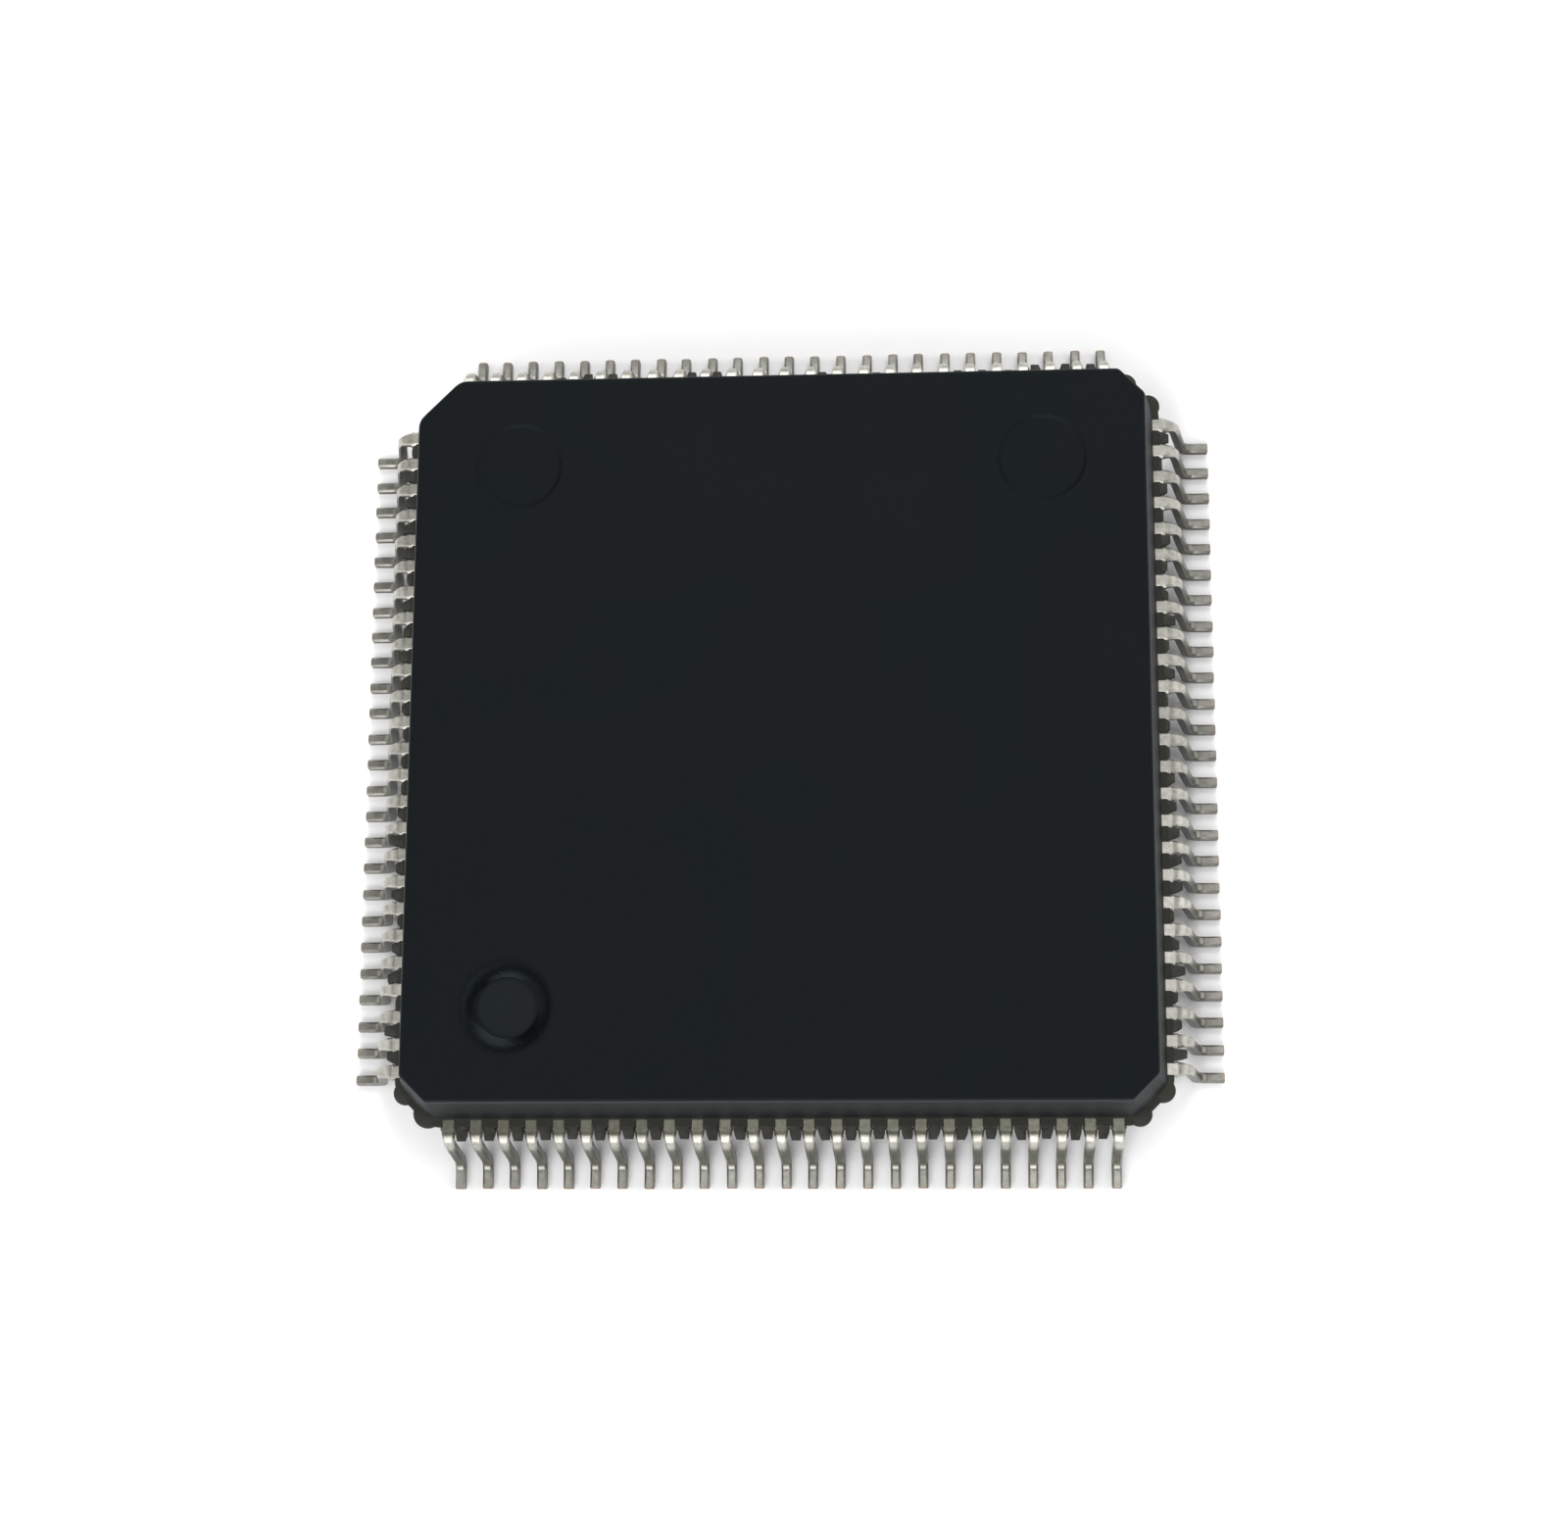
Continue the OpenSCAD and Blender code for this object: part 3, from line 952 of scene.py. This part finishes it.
def resin_item(lead):
    """A torn scrap of resin that fills one gap at the dam-bar line, and reaches on as painted shade in the
    gap.
    """
    gap = (lead.pitch - lead.root_width) / 2 - lead.stub
    deep = lead.thickness / 2
    root = BODY_HIGH.x - 0.01 * MM
    # The scraps reach further than the resin at the dam-bar line, as painted shade in the gaps between the
    # lead roots.
    reach = 0.26 * MM
    rings = []
    for along, width, depth in ((0.0, 1.0, 1.0), (0.55, 0.94, 0.92), (1.0, 0.7, 0.6)):
        x, half = root + reach * along, gap * width
        low, high = BODY_MID - deep * depth, BODY_MID + deep * depth * 0.9
        soft = 0.25 * half
        rings.append(
            [
                (x, half, low + soft * 0.5),
                (x, half * 0.94, high - soft * 0.4),
                (x, half - soft * 1.6, high),
                (x, soft - half, high - soft * 0.2),
                (x, -half, high - soft),
                (x, -half * 0.9, low),
                (x, half - soft, low),
            ]
        )
    made = new_mesh_object("resin_item", *loft(rings))
    tidy_mesh(made)
    return made


class FLATPACK_OT_resin_flash(bpy.types.Operator):
    """Leaves torn resin between the lead roots where the dam bar was cut, reaching on as painted shade in
    the gaps
    """

    bl_idname = "flatpack.resin_flash"
    bl_label = "Resin flash"

    def execute(self, context):
        lead = context.scene.flatpack_leads
        material = resin_material(context.scene.flatpack_finish)
        rows = grow_rows(
            "resin_flash",
            resin_item(lead),
            100,
            material,
            # The front row's scraps are trimmed least and reach furthest: painted shade in its darker gaps.
            own={"front": {"Trim": 0.15}},
            Count=lead.count - 1,
            Near_distance=0.0,
            Near_pitch=lead.pitch,
            Far_distance=BODY_HIGH.x,
            Far_pitch=lead.pitch,
            Root=BODY_HIGH.x,
            Lean=0.2,
            Trim=0.85,
        )
        for row in rows.values():
            shade(row, 50)
            finish_piece(row, "mould_compound")
        return {"FINISHED"}


# ---------------------------------------------------------------- die, wires and pads


def wire_item(wire):
    """One bond wire: ball, neck and a loop that eases down to the stitch on the lead."""
    start, end = DIE_HIGH.x - wire.inset, WIRE_HIGH.x - wire.diameter / 2
    radius = wire.diameter / 2
    ball_top, neck = DIE_HIGH.z + wire.ball * 0.3, DIE_HIGH.z + wire.loop * 0.6
    crown = DIE_HIGH.z + wire.loop - radius
    centres = [Vector((start, 0, neck))]
    steps, crown_at = 14, 0.12
    for k in range(1, steps + 1):
        t = k / steps
        rise = math.sin(min(t / crown_at, 1.0) * QUARTER)
        fall = max(0.0, (t - crown_at) / (1 - crown_at))
        ease = fall * fall * (3 - 2 * fall)
        z = neck + (crown - neck) * rise - (crown - FRAME_TOP - radius * 0.4) * ease
        centres.append(Vector((start + (end - start) * t, 0, z)))
    sides = 8
    turns = [4 * QUARTER * k / sides for k in range(sides)]
    rings = [
        [(start + wire.ball * math.cos(t), wire.ball * math.sin(t), z) for t in turns]
        for z in (DIE_HIGH.z, ball_top)
    ]
    aside = Vector((0, 1, 0))
    for k, at in enumerate(centres):
        ahead = centres[min(k + 1, steps)] - centres[max(k - 1, 0)] if k else Vector((0, 0, 1))
        ahead.normalize()
        across = Vector((ahead.z, 0, -ahead.x))
        rings.append([at + radius * (math.cos(t) * across + math.sin(t) * aside) for t in turns])
    made = new_mesh_object("wire_item", *loft(rings))
    tidy_mesh(made)
    return made


def pad_item(wire):
    """One bond pad on the die."""
    x, z = DIE_HIGH.x - wire.inset, DIE_HIGH.z
    half, soft, thick = wire.pad / 2, 0.008 * MM, 0.002 * MM
    corners = ((1, 1), (-1, 1), (-1, -1), (1, -1))
    levels = ((half, z), (half, z + thick), (half - soft, z + 1.5 * thick))
    rings = [[(x + sx * reach, sy * reach, up) for sx, sy in corners] for reach, up in levels]
    made = new_mesh_object("pad_item", *loft(rings))
    tidy_mesh(made)
    return made


def pad_pitch(wire, lead):
    """Spacing of the bond pads along the die's edge."""
    return (DIE_HIGH.x - DIE_LOW.x - wire.margin) / (lead.count - 1)


class FLATPACK_OT_bond_wires(bpy.types.Operator):
    """Strings the gold wires from the die to the inner lead tips"""

    bl_idname = "flatpack.bond_wires"
    bl_label = "Bond wires"

    def execute(self, context):
        lead, wire = context.scene.flatpack_leads, context.scene.flatpack_wires
        material = wire_metal("gold_wire", context.scene.flatpack_finish.gold, 0.18)
        landing = WIRE_HIGH.x - LEAD_LOW.x
        fan = (lead.pitch - lead.tip_pitch) / (BODY_HIGH.x - lead.fan - LEAD_LOW.x)
        rows = grow_rows(
            "gold_wires",
            wire_item(wire),
            200,
            material,
            Count=lead.count,
            Near_distance=DIE_HIGH.x - wire.inset,
            Near_pitch=pad_pitch(wire, lead),
            Far_distance=WIRE_HIGH.x,
            Far_pitch=lead.tip_pitch + landing * fan,
        )
        for side, row in rows.items():
            row.data.shade_smooth()
            finish_piece(row, "gold_wire", f"bond_wires_{side}")
        return {"FINISHED"}


class FLATPACK_OT_bond_pads(bpy.types.Operator):
    """Lays the bond pads along the four edges of the die"""

    bl_idname = "flatpack.bond_pads"
    bl_label = "Bond pads"

    def execute(self, context):
        lead, wire = context.scene.flatpack_leads, context.scene.flatpack_wires
        material = wire_metal("pad_metal", context.scene.flatpack_finish.pad, 0.25)
        pitch = pad_pitch(wire, lead)
        rows = grow_rows(
            "bond_pads",
            pad_item(wire),
            300,
            material,
            Count=lead.count,
            Near_distance=0.0,
            Near_pitch=pitch,
            Far_distance=BODY_HIGH.x,
            Far_pitch=pitch,
        )
        for row in rows.values():
            finish_piece(row, "silicon")
        return {"FINISHED"}


class FLATPACK_OT_inner_finishes(bpy.types.Operator):
    """Finishes the paddle, the epoxy under the die and the die"""

    bl_idname = "flatpack.inner_finishes"
    bl_label = "Inner finishes"

    def execute(self, context):
        nodes = frame["nodes"]
        set_finish(nodes["die_paddle"], copper_material(context.scene.flatpack_finish))
        set_finish(nodes["die_attach"], epoxy_material())
        set_finish(nodes["silicon_die"], silicon_material())
        return {"FINISHED"}


# ---------------------------------------------------------------- stage


def add_area_light(name, place, width, watts):
    """A soft square light that looks at the middle of the package."""
    data = bpy.data.lights.new(name, "AREA")
    data.shape = "SQUARE"
    data.size = width
    data.energy = watts
    made = bpy.data.objects.new(name, data)
    bpy.context.scene.collection.objects.link(made)
    made.location = place
    made.rotation_mode = "QUATERNION"
    made.rotation_quaternion = (-Vector(place)).to_track_quat("-Z", "Y")
    return made


def studio_dome(stage):
    """A plain dome of light: pale low down, dim above, a soft glow overhead; seen itself, it is white."""
    made = bpy.data.worlds.new("studio")
    made.use_nodes = True
    tree = made.node_tree
    way = add_node(tree, "ShaderNodeTexCoord").outputs["Generated"]
    height = add_node(tree, "ShaderNodeSeparateXYZ", Vector=way).outputs["Z"]
    dome = spread(tree, height, 0.20, 0.80, stage.horizon, stage.zenith)
    glow = spread(tree, height, 0.974, 0.997, 0.0, stage.glow)
    seen = add_node(tree, "ShaderNodeLightPath").outputs["Is Camera Ray"]
    light = tree.nodes["Background"].inputs
    light["Color"].default_value = (1.0, 1.0, 1.0, 1.0)
    tree.links.new(maths(tree, "MAXIMUM", maths(tree, "ADD", dome, glow), seen), light["Strength"])
    return made


def place_camera(stage):
    """The camera on its azimuth and elevation, rolled, and slid in its own plane to frame the package."""
    data = bpy.data.cameras.new("camera")
    data.lens = stage.lens
    data.sensor_width = 36.0
    data.clip_start = 1 * MM
    data.clip_end = 10.0
    made = bpy.data.objects.new("camera", data)
    bpy.context.scene.collection.objects.link(made)
    az, el, roll = stage.azimuth, stage.elevation, stage.roll
    right = Vector((math.cos(az), math.sin(az), 0))
    up = Vector((-math.sin(az) * math.sin(el), math.cos(az) * math.sin(el), math.cos(el)))
    back = right.cross(up)
    across = math.cos(roll) * right - math.sin(roll) * up
    upward = math.sin(roll) * right + math.cos(roll) * up
    place = back * stage.distance + across * stage.slide_x + upward * stage.slide_y
    turn = Matrix((across, upward, back)).transposed().to_4x4()
    made.matrix_world = Matrix.Translation(place) @ turn
    bpy.context.scene.camera = made


LIGHTS = (  # name, azimuth in degrees, height and width in metres, watts
    ("front", -12, 0.80, 1.20, 20.5),
    ("left", -80, 0.80, 1.28, 7.0),
    ("back", 170, 1.00, 1.20, 18.5),
    ("right", 85, 0.72, 1.20, 7.5),
)


class FLATPACK_OT_stage(bpy.types.Operator):
    """Sets the pale floor, the soft light and the camera"""

    bl_idname = "flatpack.stage"
    bl_label = "Studio"

    def execute(self, context):
        stage = context.scene.flatpack_stage
        half = stage.floor / 2
        clear = 0.004 * MM
        z = CAD_BOX[0].z - clear
        corners = [(-half, -half, z), (half, -half, z), (half, half, z), (-half, half, z)]
        floor = new_mesh_object("studio_floor", corners, [(0, 1, 2, 3)])
        set_finish(floor, floor_material(context.scene.flatpack_finish))
        context.scene.world = studio_dome(stage)
        for name, azimuth, height, width, watts in LIGHTS:
            turn = math.radians(azimuth)
            place = (stage.light * math.sin(turn), -stage.light * math.cos(turn), height)
            add_area_light(name, place, width, watts)
        place_camera(stage)
        context.scene.view_settings.view_transform = "Standard"
        return {"FINISHED"}


class FLATPACK_PT_panel(bpy.types.Panel):
    """Lists the package's pieces and their sizes"""

    bl_label = "Flat pack"
    bl_idname = "FLATPACK_PT_panel"
    bl_space_type = "VIEW_3D"
    bl_region_type = "UI"
    bl_category = "Flat pack"

    def draw(self, context):
        for operator in OPERATORS:
            self.layout.operator(operator.bl_idname)
        for name, group in GROUPS.items():
            box = self.layout.box()
            for field in group.__annotations__:
                box.prop(getattr(context.scene, name), field)


OPERATORS = (
    FLATPACK_OT_mould_body,
    FLATPACK_OT_resin_flash,
    FLATPACK_OT_lead_rows,
    FLATPACK_OT_bond_wires,
    FLATPACK_OT_bond_pads,
    FLATPACK_OT_inner_finishes,
    FLATPACK_OT_stage,
)


def register():
    """Registers the settings, the operators and the panel."""
    for name, group in GROUPS.items():
        bpy.utils.register_class(group)
        setattr(bpy.types.Scene, name, PointerProperty(type=group))
    for made in (*OPERATORS, FLATPACK_PT_panel):
        bpy.utils.register_class(made)


def unregister():
    """Takes back all that register added."""
    for made in (FLATPACK_PT_panel, *reversed(OPERATORS)):
        bpy.utils.unregister_class(made)
    for name, group in reversed(list(GROUPS.items())):
        delattr(bpy.types.Scene, name)
        bpy.utils.unregister_class(group)


def main():
    """Makes the pieces in order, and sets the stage."""
    register()
    bpy.ops.flatpack.mould_body()
    bpy.ops.flatpack.resin_flash()
    bpy.ops.flatpack.lead_rows()
    bpy.ops.flatpack.bond_wires()
    bpy.ops.flatpack.bond_pads()
    bpy.ops.flatpack.inner_finishes()
    bpy.ops.flatpack.stage()


if __name__ == "__main__":
    main()
